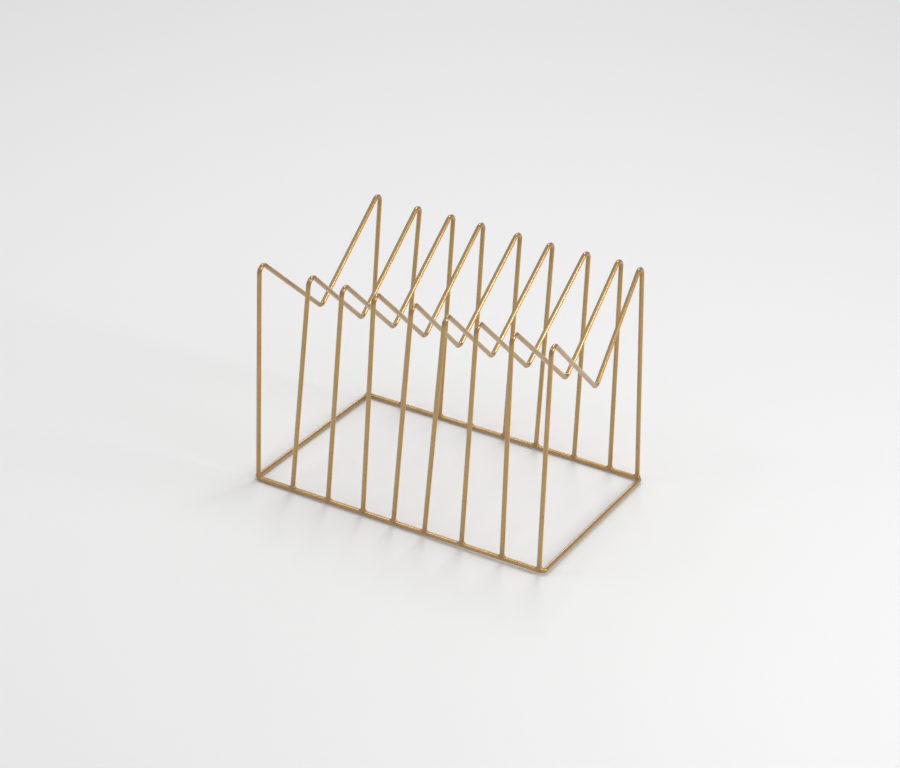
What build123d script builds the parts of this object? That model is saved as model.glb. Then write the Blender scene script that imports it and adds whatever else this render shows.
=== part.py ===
"""Welded wire stand that keeps photo albums upright in a row.

One rod is bent into a rectangular base ring. M-shaped dividers, each bent from
one length of thinner wire, stand across it from the front rail to the back
rail, and a weld bead holds each foot. Albums stand in the slots between them.

Frame: +X runs along the row of dividers, +Y from front to back, +Z up. The
origin is the middle of the ring, on the surface that the stand rests on.
All sizes are in millimetres.
"""

import os
from math import acos, degrees, radians, sin, sqrt

from build123d import *

# Base ring, along the rod's centreline
ring_length = 300.0
ring_depth = 210.0
corner_radius = 5.0
rod_diameter = 4.6

# Dividers. Heights are of the bends' sharp corners, above the rod's centreline
divider_count = 9
wire_diameter = 4.4
bend_radius = 6.0
outer_bend_height = 221.0
valley_height = 137.0
end_inset = 1.5

# Weld beads: a ball round the foot, its middle above the rod's centreline, under a flare
bead_radius = 2.9
bead_height = 1.3
flare_radius = 2.0
flare_toe = 0.15

# The stand is bent and welded by hand, so no divider is dead true. A row says how
# far one divider lies from its even place: first its front foot, front bend,
# valley, back bend and back foot along X, then its front and back bends in height.
hand_set = (
    (0, -8, -1, -2, 0, -2, 1),
    (1, 7, 6, 5, 1, 0, 0),
    (2, 4, 3, 4, 6, 0, 1),
    (2, -1, -1, -1, 3, 1, 1),
    (-3, 0, -2, 1, 4, 2, 1),
    (-8, -4, -5, -2, 1, 0, 0),
    (-7, -10, -6, -2, 5, 2, 1),
    (-3, -13, -4, -6, 6, 2, 2),
    (-3, -12, -11, -22, -2, 2, 0),
)

# Worked out from the driving dimensions
rod_radius = rod_diameter / 2
wire_radius = wire_diameter / 2
half_length = ring_length / 2
half_depth = ring_depth / 2
pitch = (ring_length - 2 * end_inset) / (divider_count - 1)
flare_top_radius = wire_radius + flare_toe
flare_angle = degrees(acos((flare_top_radius + flare_radius) / (bead_radius + flare_radius)))
flare_top = bead_height + (bead_radius + flare_radius) * sin(radians(flare_angle))


def rail_y(x):
    """Distance from the X axis to a rail's centreline at x, which a corner's arc draws in."""
    into_corner = max(0, abs(x) - (half_length - corner_radius))
    return half_depth - corner_radius + sqrt(corner_radius**2 - into_corner**2)


def wire_corners(number):
    """Sharp corners of one divider's centreline, from its front foot to its back foot."""
    *shifts, front_rise, back_rise = hand_set[number]
    even_x = pitch * number + end_inset - half_length
    front_foot, front_bend, valley, back_bend, back_foot = (even_x + shift for shift in shifts)
    outer_z = rod_radius + outer_bend_height
    return (
        Vector(front_foot, -rail_y(front_foot), rod_radius),
        Vector(front_bend, -half_depth, outer_z + front_rise),
        Vector(valley, 0, rod_radius + valley_height),
        Vector(back_bend, half_depth, outer_z + back_rise),
        Vector(back_foot, rail_y(back_foot), rod_radius),
    )


def bend_wire(number):
    """One divider's wire, with its feet running on down to the rod's centreline."""
    with BuildPart() as wire:
        with BuildLine() as centreline:
            FilletPolyline(*wire_corners(number), radius=bend_radius)
        with BuildSketch(Plane(origin=centreline.line @ 0, z_dir=centreline.line % 0)):
            Circle(wire_radius)
        sweep()
    return wire.part


def cope_divider(wire):
    """The finished divider: its feet are cut to sit round the top of the rod."""
    with BuildPart() as divider:
        add(wire)
        add(base_frame.part, mode=Mode.SUBTRACT)
    return divider.part


def weld_foot(wire, foot, bend):
    """The bead round one foot: a ball that laps over the rod, flaring up into the wire."""
    along_wire = (bend - foot).normalized()
    across_wire = Plane(origin=foot, x_dir=(1, 0, 0), z_dir=along_wire)
    through_wire = Plane(origin=foot, x_dir=across_wire.x_dir, z_dir=-across_wire.y_dir)
    with BuildPart() as bead:
        with BuildSketch(through_wire):
            with BuildLine():
                ball = CenterArc((0, bead_height), bead_radius, -90, arc_size=90 + flare_angle)
                flare_center = (flare_top_radius + flare_radius, flare_top)
                flare = CenterArc(flare_center, flare_radius, 180, arc_size=flare_angle)
                Polyline(flare @ 0, (0, flare_top), ball @ 0)
            make_face()
        revolve(axis=Axis(foot, along_wire))
        add(wire, mode=Mode.SUBTRACT)
        add(base_frame.part, mode=Mode.SUBTRACT)
    return bead.part


def save(piece, name):
    """Label a finished piece and write it as its own STEP file."""
    piece.label = name
    export_step(piece, f"parts/{name}.step")


os.makedirs("parts", exist_ok=True)

# Base ring: one rod, bent at four corners, its ends butt-welded and dressed flush
with BuildPart() as base_frame:
    with BuildLine(Plane.XY.offset(rod_radius)) as ring_line:
        FilletPolyline(
            (-half_length, -half_depth),
            (half_length, -half_depth),
            (half_length, half_depth),
            (-half_length, half_depth),
            radius=corner_radius,
            close=True,
        )
    with BuildSketch(Plane(origin=ring_line.line @ 0, z_dir=ring_line.line % 0)):
        Circle(rod_radius)
    sweep()
save(base_frame.part, "base_frame")

# Dividers, from left to right, each with a weld at its front foot and one at its back foot
for number in range(divider_count):
    wire = bend_wire(number)
    front_foot, front_bend, _, back_bend, back_foot = wire_corners(number)
    save(cope_divider(wire), f"divider_{number + 1}")
    save(weld_foot(wire, front_foot, front_bend), f"weld_front_{number + 1}")
    save(weld_foot(wire, back_foot, back_bend), f"weld_back_{number + 1}")
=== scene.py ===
import math
import random

import bmesh
import bpy
from mathutils import Matrix, Vector, noise


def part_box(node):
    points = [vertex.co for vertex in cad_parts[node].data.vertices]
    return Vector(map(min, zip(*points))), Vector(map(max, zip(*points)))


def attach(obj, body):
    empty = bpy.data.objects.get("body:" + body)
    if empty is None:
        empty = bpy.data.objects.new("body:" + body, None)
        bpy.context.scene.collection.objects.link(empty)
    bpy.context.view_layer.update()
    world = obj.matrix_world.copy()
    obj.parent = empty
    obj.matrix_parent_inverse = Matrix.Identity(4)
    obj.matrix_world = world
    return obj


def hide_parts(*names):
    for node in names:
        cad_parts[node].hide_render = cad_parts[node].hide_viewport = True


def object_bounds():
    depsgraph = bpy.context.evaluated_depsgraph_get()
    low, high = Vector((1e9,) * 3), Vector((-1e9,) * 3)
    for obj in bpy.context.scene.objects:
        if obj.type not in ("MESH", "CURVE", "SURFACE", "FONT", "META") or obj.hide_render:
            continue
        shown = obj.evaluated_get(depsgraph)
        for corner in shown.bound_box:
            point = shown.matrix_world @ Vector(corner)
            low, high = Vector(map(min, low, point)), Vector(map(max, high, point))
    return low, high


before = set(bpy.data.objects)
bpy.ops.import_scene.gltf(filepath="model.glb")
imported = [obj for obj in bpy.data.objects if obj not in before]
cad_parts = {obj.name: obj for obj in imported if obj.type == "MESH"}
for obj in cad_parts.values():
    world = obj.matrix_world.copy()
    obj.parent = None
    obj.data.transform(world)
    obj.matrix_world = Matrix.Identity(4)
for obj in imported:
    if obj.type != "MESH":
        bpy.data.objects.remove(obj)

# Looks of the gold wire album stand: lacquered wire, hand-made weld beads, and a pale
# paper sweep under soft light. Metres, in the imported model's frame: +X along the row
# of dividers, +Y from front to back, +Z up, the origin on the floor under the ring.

MM = 0.001
MICRON = 0.000001

cad_low, cad_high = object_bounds()
scene = bpy.context.scene

# Sizes of the stand, from the frame and from the design
_, ring_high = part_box("base_frame")
rod_radius = ring_high.z / 2
half_length = ring_high.x - rod_radius
half_depth = ring_high.y - rod_radius
bend_top = cad_high.z
DIVIDERS = 9
CORNER_RADIUS = 5 * MM
WIRE_RADIUS = 2.2 * MM
VALLEY_Z = 139 * MM


# Camera: the view's direction, where it looks, and how far it leans

VIEW_AZIMUTH = math.radians(26.094)
VIEW_ELEVATION = math.radians(26.475)
VIEW_ROLL = math.radians(4.542)
VIEW_DISTANCE = 2.4116
VIEW_TARGET = Vector((-0.0054, -0.0059, 0.1023))
LENS = 104.22
SENSOR = 36.0


def toward(azimuth, elevation):
    """Unit vector from the object toward a place at this azimuth and elevation."""
    level = math.cos(elevation)
    return Vector((math.sin(azimuth) * level, -math.cos(azimuth) * level, math.sin(elevation)))


def make_camera():
    data = bpy.data.cameras.new("camera")
    data.lens = LENS
    data.sensor_width = SENSOR
    camera = bpy.data.objects.new("camera", data)
    back = toward(VIEW_AZIMUTH, VIEW_ELEVATION)
    level_right = Vector((math.cos(VIEW_AZIMUTH), math.sin(VIEW_AZIMUTH), 0))
    level_up = back.cross(level_right)
    right = math.cos(VIEW_ROLL) * level_right + math.sin(VIEW_ROLL) * level_up
    up = back.cross(right)
    turn = Matrix((right, up, back)).transposed()
    camera.matrix_world = Matrix.Translation(VIEW_TARGET + VIEW_DISTANCE * back) @ turn.to_4x4()
    scene.collection.objects.link(camera)
    scene.camera = camera


# Node helpers

class Nodes:
    """A material's node tree, with short calls for the nodes that the finishes use."""

    def __init__(self, name):
        self.material = bpy.data.materials.new(name)
        self.material.use_nodes = True
        self.tree = self.material.node_tree
        self.shader = self.tree.nodes["Principled BSDF"]
        self.place = self.node("ShaderNodeTexCoord").outputs["Object"]

    def node(self, kind, **settings):
        made = self.tree.nodes.new(kind)
        for key, value in settings.items():
            setattr(made, key, value)
        return made

    def feed(self, socket, value):
        """Join an output to a socket, or set the socket's own value."""
        if isinstance(value, bpy.types.NodeSocket):
            self.tree.links.new(value, socket)
        else:
            socket.default_value = value

    def math(self, operation, first, second=0.0):
        made = self.node("ShaderNodeMath", operation=operation)
        self.feed(made.inputs[0], first)
        self.feed(made.inputs[1], second)
        return made.outputs[0]

    def split(self, vector):
        """A vector's X, Y and Z."""
        made = self.node("ShaderNodeSeparateXYZ")
        self.feed(made.inputs[0], vector)
        return made.outputs

    def join(self, *parts):
        """A vector from its X, Y and Z."""
        made = self.node("ShaderNodeCombineXYZ")
        for socket, value in zip(made.inputs, parts):
            self.feed(socket, value)
        return made.outputs[0]

    def scaled(self, vector, scale):
        """Coordinates times a scale along each axis."""
        made = self.node("ShaderNodeVectorMath", operation="MULTIPLY")
        self.feed(made.inputs[0], vector)
        made.inputs[1].default_value = scale
        return made.outputs[0]

    def turned(self, vector, angle):
        """Coordinates turned about X."""
        made = self.node("ShaderNodeVectorRotate", rotation_type="X_AXIS")
        self.feed(made.inputs["Vector"], vector)
        made.inputs["Angle"].default_value = angle
        return made.outputs[0]

    def noise(self, vector, scale, detail=2.0, rough=0.5):
        made = self.node("ShaderNodeTexNoise")
        self.feed(made.inputs["Vector"], vector)
        made.inputs["Scale"].default_value = scale
        made.inputs["Detail"].default_value = detail
        made.inputs["Roughness"].default_value = rough
        return made.outputs["Fac"]

    def specks(self, vector, scale, size, share):
        """Small scattered spots, in a share of the cells. size is a spot's radius in cells."""
        made = self.node("ShaderNodeTexVoronoi")
        self.feed(made.inputs["Vector"], vector)
        made.inputs["Scale"].default_value = scale
        spot = self.spread(made.outputs["Distance"], size, size / 2)
        chosen = self.math("LESS_THAN", self.split(made.outputs["Color"])[0], share)
        return self.math("MULTIPLY", spot, chosen)

    def spread(self, value, low, high, to_low=0.0, to_high=1.0):
        """Map a range onto another, clamped."""
        made = self.node("ShaderNodeMapRange")
        self.feed(made.inputs["Value"], value)
        made.inputs["From Min"].default_value = low
        made.inputs["From Max"].default_value = high
        made.inputs["To Min"].default_value = to_low
        made.inputs["To Max"].default_value = to_high
        return made.outputs["Result"]

    def mix(self, share, first, second):
        """Blend of two colours."""
        made = self.node("ShaderNodeMix", data_type="RGBA")
        self.feed(made.inputs["Factor"], share)
        self.feed(made.inputs["A"], first)
        self.feed(made.inputs["B"], second)
        return made.outputs["Result"]

    def blend(self, share, first, second):
        """Blend of two vectors."""
        made = self.node("ShaderNodeMix", data_type="VECTOR")
        self.feed(made.inputs[0], share)
        self.feed(made.inputs[4], first)
        self.feed(made.inputs[5], second)
        return made.outputs[1]

    def bump(self, height, distance, under=None):
        """Relief of this depth, in metres, over an earlier relief."""
        made = self.node("ShaderNodeBump")
        made.inputs["Distance"].default_value = distance
        self.feed(made.inputs["Height"], height)
        if under is not None:
            self.feed(made.inputs["Normal"], under)
        return made.outputs["Normal"]


# Finishes

GOLD = (0.425, 0.235, 0.036, 1)
GOLD_PALE = (0.456, 0.263, 0.049, 1)
GOLD_DEEP = (0.347, 0.168, 0.014, 1)
SCUFFED = (0.492, 0.311, 0.082, 1)
PIT = (0.16, 0.085, 0.03, 1)
PAPER = (0.80, 0.80, 0.80, 1)
PAPER_PALE = (0.84, 0.84, 0.84, 1)

# How many cells of each texture fit in a metre
CLOUDS = 40
PATCHES = 260
PITS = 260
SCUFFS = 700
FIBRES = 700
PEEL = 1100
GRAIN = 1500
DRAWN_LINES = 2600

# Scales of the coordinates across and along the wire, which draw the marks out along it
LINE_STRETCH = (1, 1, 0.03)
SCUFF_STRETCH = (1, 1, 0.12)

PIT_SIZE = 0.07  # of a cell
PIT_SHARE = 0.3  # of the cells
PIT_TONE = 0.35
WIRE_ROUGH = 0.27
WELD_ROUGH = 0.34
WELD_HEAT = 0.8
COAT_IOR = 1.85
COAT_ROUGH = 0.1
WIRE_PEEL_DEPTH = 6 * MICRON
WELD_PEEL_DEPTH = 30 * MICRON
LINE_DEPTH = 1.5 * MICRON
PIT_DEPTH = 20 * MICRON
FIBRE_DEPTH = 60 * MICRON

# Where the tone is deepened, partly for lacquer pooled there and partly as a painted reflection of
# the gold wires in each other: where that starts, and where it is full
BEND_TONE = (14 * MM, 6 * MM)  # below the tops of the bends
VALLEY_TONE = (7 * MM, 2 * MM)  # above the valley's sharp corner
VALLEY_REACH = (12 * MM, 8 * MM)  # to each side of the valley
FOOT_TONE = (16 * MM, 6 * MM)  # above the floor
CORNER_TONE = (9 * MM, 3 * MM)  # in from the ring's sharp corners

# Where the marks turn to follow the wire: where that starts, and where it is done
SIDE_RAIL = (3 * MM, 2 * MM)  # in from the side rails' centrelines
LEG = (6 * MM, 4 * MM)  # in from the legs' centrelines


def lacquer(n, run, deepening_and_painted_reflection, rough, peel_depth):
    """Satin gold lacquer over drawn steel.

    run gives coordinates whose Z runs along the wire. The mask after it, from 0 to 1, deepens the
    tone: on a wire it is partly lacquer pooled at the bends, valley, feet and ring corners and
    partly a painted reflection of the gold in itself there; on a weld it is heat."""
    clouds = n.noise(n.place, CLOUDS, 3)
    patches = n.noise(n.place, PATCHES, 3, 0.6)
    grain = n.noise(n.place, GRAIN, 3, 0.6)
    drawn = n.noise(n.scaled(run, LINE_STRETCH), DRAWN_LINES, 3, 0.6)
    pits = n.specks(n.place, PITS, PIT_SIZE, PIT_SHARE)
    scuffs = n.spread(n.noise(n.scaled(run, SCUFF_STRETCH), SCUFFS, 4, 0.7), 0.66, 0.72, 0, 0.5)

    tone = n.mix(n.spread(clouds, 0.36, 0.64), GOLD, GOLD_PALE)
    tone = n.mix(n.spread(patches, 0.5, 0.7, 0, 0.3), tone, GOLD_DEEP)
    tone = n.mix(n.spread(drawn, 0.5, 0.75, 0, 0.35), tone, GOLD_DEEP)
    tone = n.mix(scuffs, tone, SCUFFED)
    # Painted reflection: a deeper tone at bends, valley, feet and ring corners, partly for lacquer
    # pooled there
    tone = n.mix(n.math("MULTIPLY", deepening_and_painted_reflection, n.spread(patches, 0.3, 0.7, 0.45, 1)), tone, GOLD_DEEP)
    tone = n.mix(n.math("MULTIPLY", pits, PIT_TONE), tone, PIT)
    n.feed(n.shader.inputs["Base Color"], tone)

    satin = n.spread(patches, 0.3, 0.7, rough - 0.04, rough + 0.05)
    satin = n.math("ADD", satin, n.spread(drawn, 0.4, 0.75, 0, 0.06))
    satin = n.math("ADD", satin, n.math("MULTIPLY", scuffs, 0.12))
    n.feed(n.shader.inputs["Roughness"], n.math("ADD", satin, n.math("MULTIPLY", deepening_and_painted_reflection, 0.05)))
    n.shader.inputs["Metallic"].default_value = 1.0
    n.shader.inputs["Coat Weight"].default_value = 1.0
    n.shader.inputs["Coat IOR"].default_value = COAT_IOR
    n.shader.inputs["Coat Roughness"].default_value = COAT_ROUGH

    relief = n.bump(n.noise(n.place, PEEL, 2), peel_depth)
    relief = n.bump(drawn, LINE_DEPTH, relief)
    relief = n.bump(grain, LINE_DEPTH, relief)
    relief = n.bump(n.math("SUBTRACT", 1, pits), PIT_DEPTH, relief)
    n.feed(n.shader.inputs["Normal"], relief)
    return n.material


def rises(n, distance, edge, inward):
    """0 to 1 as a distance from the middle comes near an edge, over two distances in from it."""
    start, full = inward
    return n.spread(distance, edge - start, edge - full)


def rod_finish():
    """The ring's rod: its long rails run along X and its short ones along Y."""
    n = Nodes("rod_gold")
    x, y, z = n.split(n.place)
    out_x = n.math("ABSOLUTE", x)
    out_y = n.math("ABSOLUTE", y)
    run = n.blend(rises(n, out_x, half_length, SIDE_RAIL), n.join(y, z, x), n.join(x, z, y))
    # Painted reflection: the tone deepens at the ring's corners, partly for lacquer pooled there
    near_x = rises(n, out_x, half_length, CORNER_TONE)
    near_y = rises(n, out_y, half_depth, CORNER_TONE)
    deepening_and_painted_reflection = n.math("MULTIPLY", near_x, near_y)
    return lacquer(n, run, deepening_and_painted_reflection, WIRE_ROUGH, WIRE_PEEL_DEPTH)


def wire_finish():
    """A divider's wire: upright legs, and between them a V that slopes at one angle."""
    n = Nodes("wire_gold")
    x, y, z = n.split(n.place)
    out = n.math("ABSOLUTE", y)
    slope = math.atan2(bend_top - VALLEY_Z, half_depth)
    sloping = n.turned(n.join(x, out, z), math.pi / 2 - slope)
    run = n.blend(rises(n, out, half_depth, LEG), sloping, n.place)
    # Painted reflection: the tone deepens at the bends, the valley and the feet, partly for
    # lacquer pooled there
    bends = rises(n, z, bend_top, BEND_TONE)
    valley = n.spread(z, *(VALLEY_Z + above for above in VALLEY_TONE))
    valley = n.math("MULTIPLY", valley, n.spread(out, *VALLEY_REACH))
    feet = n.spread(z, *FOOT_TONE)
    deepening_and_painted_reflection = n.math("MAXIMUM", n.math("MAXIMUM", bends, valley), feet)
    return lacquer(n, run, deepening_and_painted_reflection, WIRE_ROUGH, WIRE_PEEL_DEPTH)


def weld_finish():
    """Weld beads: the same lacquer over rougher metal that the heat has darkened."""
    n = Nodes("weld_gold")
    return lacquer(n, n.place, WELD_HEAT, WELD_ROUGH, WELD_PEEL_DEPTH)


def paper():
    """Matt white background paper."""
    n = Nodes("paper")
    fibres = n.noise(n.place, FIBRES, 4, 0.6)
    n.feed(n.shader.inputs["Base Color"], n.mix(fibres, PAPER, PAPER_PALE))
    n.shader.inputs["Roughness"].default_value = 0.85
    n.shader.inputs["Specular IOR Level"].default_value = 0.2
    n.feed(n.shader.inputs["Normal"], n.bump(fibres, FIBRE_DEPTH))
    return n.material


# Weld beads: metal that has flowed between a divider's foot and the top of the rod

BEAD_REACH = 4.6 * MM  # from its crown to where it has thinned to nothing
BEAD_CROWN = 1.2 * MM  # up the wire from the foot, where it stands proudest
BEAD_MIDDLE = 1.0 * MM  # up the wire from the foot, inside the bead
BEND_DEPTH = 15 * MM  # below the bends' tops, of the wire that shows where a bend is
BEAD_FILLET = 2.4 * MM
BEAD_SINK = 0.22 * MM
BEAD_PROUD = (0.15, 0.6)  # least and most, in millimetres
BEAD_LOW = 0.6 * MM  # below the rod's middle, where the bead begins
BEAD_RISE = 1.8 * MM  # from there to its full strength
LUMP_HEIGHT = 0.16 * MM
LUMPS_PER_MM = 0.55
RIPPLE_HEIGHT = 0.06 * MM
RIPPLES_PER_MM = 1.7
SEED_SPAN = 50
HALVINGS = 13


def rod_gap(point):
    """Distance from a point to the ring's rod, below 0 inside it."""
    inner_x = abs(point.x) - (half_length - CORNER_RADIUS)
    inner_y = abs(point.y) - (half_depth - CORNER_RADIUS)
    beyond = math.hypot(max(inner_x, 0), max(inner_y, 0)) + min(max(inner_x, inner_y), 0)
    return math.hypot(beyond - CORNER_RADIUS, point.z - rod_radius) - rod_radius


def bead_gap(point, foot, lean, proud, seed):
    """Distance, roughly, from a point to the bead's surface, below 0 inside it."""
    from_foot = point - foot
    off_wire = (from_foot - max(from_foot.dot(lean), 0) * lean).length - WIRE_RADIUS
    off_rod = rod_gap(point)
    above = min(max((point.z - rod_radius + BEAD_LOW) / BEAD_RISE, 0), 1)
    closeness = above * max(BEAD_FILLET - abs(off_wire - off_rod), 0) / BEAD_FILLET
    joined = min(off_wire, off_rod) - closeness**2 * BEAD_FILLET / 4
    spread = min((from_foot - BEAD_CROWN * lean).length / BEAD_REACH, 1)
    lumps = LUMP_HEIGHT * noise.noise(point / MM * LUMPS_PER_MM + seed)
    lumps += RIPPLE_HEIGHT * noise.noise(point / MM * RIPPLES_PER_MM + seed)
    return joined - (proud + lumps) * above * (1 - spread**2) + BEAD_SINK * (spread**2 + 1 - above)


def wire_lean(number, foot):
    """Unit vector up a divider's leg, from its foot to its bend."""
    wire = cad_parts[f"divider_{number}"].data
    side = math.copysign(1, foot.y)
    bend = [v.co.x for v in wire.vertices if v.co.y * side > 0 and v.co.z > bend_top - BEND_DEPTH]
    return Vector((sum(bend) / len(bend) - foot.x, 0, bend_top - rod_radius)).normalized()


def make_bead(node, number, end, finish, rng):
    """One bead, in place of its CAD node."""
    low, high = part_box(node)
    foot = Vector(((low.x + high.x) / 2, (low.y + high.y) / 2, rod_radius))
    lean = wire_lean(number, foot)
    proud = rng.uniform(*BEAD_PROUD) * MM
    seed = Vector([rng.uniform(0, SEED_SPAN) for _ in range(3)])
    middle = foot + BEAD_MIDDLE * lean

    shape = bmesh.new()
    bmesh.ops.create_icosphere(shape, subdivisions=5, radius=1)
    for vertex in shape.verts:
        outward = vertex.co.normalized()
        inside, outside = 0.0, BEAD_REACH
        for _ in range(HALVINGS):
            halfway = (inside + outside) / 2
            if bead_gap(middle + halfway * outward, foot, lean, proud, seed) < 0:
                inside = halfway
            else:
                outside = halfway
        vertex.co = middle + inside * outward
    mesh = bpy.data.meshes.new(f"bead_{end}_{number}")
    shape.to_mesh(mesh)
    shape.free()
    mesh.shade_smooth()
    bead = bpy.data.objects.new(mesh.name, mesh)
    scene.collection.objects.link(bead)
    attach(bead, "root")
    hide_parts(node)
    mesh.materials.append(finish)


# Floor: paper that lies nearly flat under the stand and sweeps up far behind it

PAPER_DIP = 1.1 * MM
DIP_MEAN = 0.6
DIP_SWING = 0.8
DIPS_PER_METRE = 9.0
DIP_SHIFT_X = 3.1
DIP_SHIFT_Y = 1.7
CORNER_DIP = 1.6 * MM
CORNER_DIP_X = 0.15
CORNER_DIP_Y = -0.12
CORNER_DIP_REACH = 0.14

FLOOR_HALF_WIDTH = 3.5
FLOOR_FRONT = -3.5
COARSE_REACH = 1.5  # coarser faces round the fine ones, to the front and sides
COARSE_BACK = 1.2  # and to the back
FINE_STEP = 0.02
FINE_STEPS = 30  # each way from the stand's middle
SWEEP_START = 2.2
SWEEP_RADIUS = 2.0
SWEEP_STEPS = 24
SWEEP_TURN = math.radians(70)


def paper_height(place):
    """The paper isn't quite flat: it dips a little here and there, most under the front right."""
    across = place.x * DIPS_PER_METRE + DIP_SHIFT_X
    along = place.y * DIPS_PER_METRE + DIP_SHIFT_Y
    wander = noise.noise(Vector((across, along, 0.0)))
    toward_corner = (place.x - CORNER_DIP_X) ** 2 + (place.y - CORNER_DIP_Y) ** 2
    corner = CORNER_DIP * math.exp(-toward_corner / CORNER_DIP_REACH**2)
    return -PAPER_DIP * (DIP_MEAN + DIP_SWING * wander) - corner


def make_floor(finish):
    fine = [FINE_STEP * step for step in range(-FINE_STEPS, FINE_STEPS + 1)]
    sides = [-FLOOR_HALF_WIDTH, -COARSE_REACH, *fine, COARSE_REACH, FLOOR_HALF_WIDTH]
    profile = [(distance, 0.0) for distance in (FLOOR_FRONT, -COARSE_REACH, *fine, COARSE_BACK)]
    for step in range(SWEEP_STEPS + 1):
        turn = SWEEP_TURN * step / SWEEP_STEPS
        back = SWEEP_START + SWEEP_RADIUS * math.sin(turn)
        profile.append((back, SWEEP_RADIUS * (1 - math.cos(turn))))

    across = Vector((math.cos(VIEW_AZIMUTH), math.sin(VIEW_AZIMUTH), 0))
    away = Vector((-math.sin(VIEW_AZIMUTH), math.cos(VIEW_AZIMUTH), 0))
    corners = []
    for distance, height in profile:
        for side in sides:
            place = side * across + distance * away
            place.z = height + (paper_height(place) if height == 0 else -PAPER_DIP / 2)
            corners.append(place)
    width = len(sides)
    faces = []
    for row in range(len(profile) - 1):
        for column in range(width - 1):
            first = row * width + column
            faces.append((first, first + 1, first + width + 1, first + width))
    mesh = bpy.data.meshes.new("floor")
    mesh.from_pydata(corners, [], faces)
    mesh.shade_smooth()
    mesh.materials.append(finish)
    floor = bpy.data.objects.new("floor", mesh)
    scene.collection.objects.link(floor)


# Light

ROOM_BRIGHTNESS = 0.62


def soft_light(name, azimuth, elevation, distance, size, power):
    """A square lamp that faces the stand. Angles in degrees, the rest in metres and watts."""
    data = bpy.data.lights.new(name, "AREA")
    data.shape = "RECTANGLE"
    data.size = size
    data.size_y = size
    data.energy = power
    light = bpy.data.objects.new(name, data)
    direction = toward(math.radians(azimuth), math.radians(elevation))
    light.location = VIEW_TARGET + distance * direction
    light.rotation_mode = "QUATERNION"
    light.rotation_quaternion = direction.to_track_quat("Z", "Y")
    scene.collection.objects.link(light)


def make_room():
    """Even light from the room all round."""
    world = bpy.data.worlds.new("room")
    world.use_nodes = True
    background = world.node_tree.nodes["Background"]
    background.inputs["Color"].default_value = (1.0, 1.0, 1.0, 1)
    background.inputs["Strength"].default_value = ROOM_BRIGHTNESS
    scene.world = world


make_camera()
scene.view_settings.view_transform = "Standard"
make_floor(paper())
make_room()
soft_light("ceiling_light", 191, 70, 2.15, 0.45, 11)  # throws the feet's shadows forward in a fan
soft_light("key_light", 75, 42, 1.1, 0.6, 1.8)  # brightens the paper toward the right
soft_light("side_light", 100, 20, 2.2, 0.4, 8)  # lights up the edges of the wires that slope up
soft_light("back_light", 203, 29, 3.2, 0.8, 7)  # lights up the tops of the side rails
soft_light("front_light", 315, 56, 2.2, 0.4, 4)  # lights up the tops of the long rails

# Finishes by the first word of a node's name
finishes = {"base": rod_finish(), "divider": wire_finish(), "weld": weld_finish()}
for name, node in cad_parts.items():
    for slot in node.material_slots:
        slot.material = finishes[name.split("_")[0]]

hand = random.Random(9)
for number in range(1, DIVIDERS + 1):
    for end in ("front", "back"):
        make_bead(f"weld_{end}_{number}", number, end, finishes["weld"], hand)
